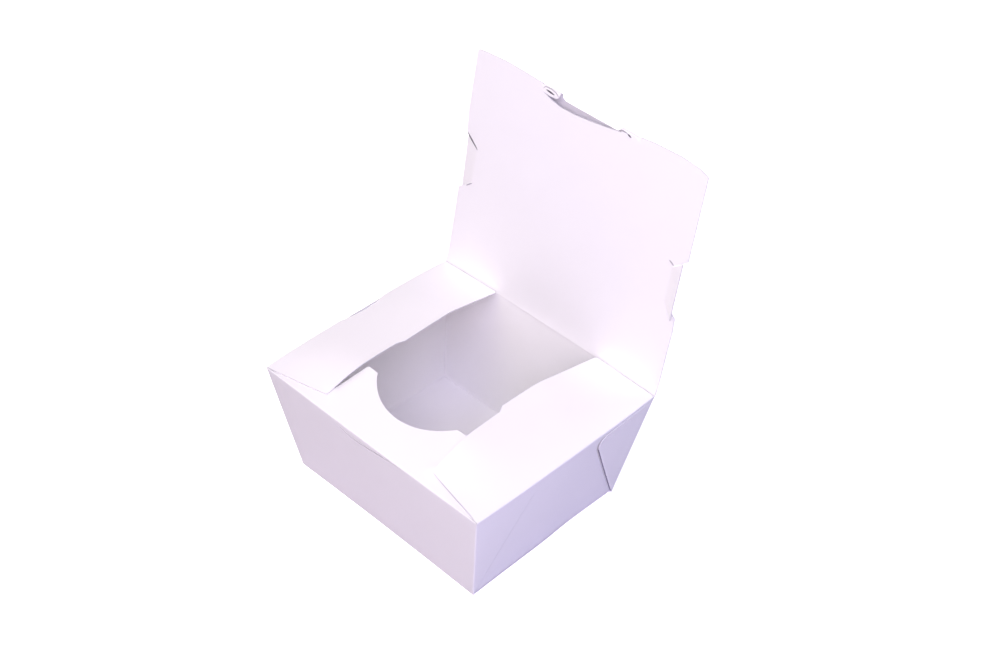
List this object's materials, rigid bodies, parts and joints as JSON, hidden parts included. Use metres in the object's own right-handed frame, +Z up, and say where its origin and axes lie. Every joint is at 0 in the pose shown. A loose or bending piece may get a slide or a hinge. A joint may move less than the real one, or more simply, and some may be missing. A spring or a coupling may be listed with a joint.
{
  "type": "takeout food box",
  "caption": "Folded white paperboard takeout food box with tapered walls, glued corner ears, sprung top flaps and an open hinged lid with lock tabs.",
  "frame": {"origin": "middle of the underside, on the table", "axes": "+Z up, +X to the right as seen from the front, +Y from the front wall towards the lid's fold at the back"},
  "size_m": [0.13, 0.1349, 0.1686],
  "materials": {
    "paperboard": "smooth coated white",
    "lid_paperboard": "smooth coated white"
  },
  "bodies": {
    "box": {"box": "paperboard"},
    "lid": {"lid": "lid_paperboard"}
  },
  "joints": [
    {"name": "lid_hinge", "type": "hinge", "parent": "box", "child": "lid", "pos_m": [0, 0.05571, 0.0613], "axis": [1, 0, 0], "range_deg": [-105, 88]}
  ]
}
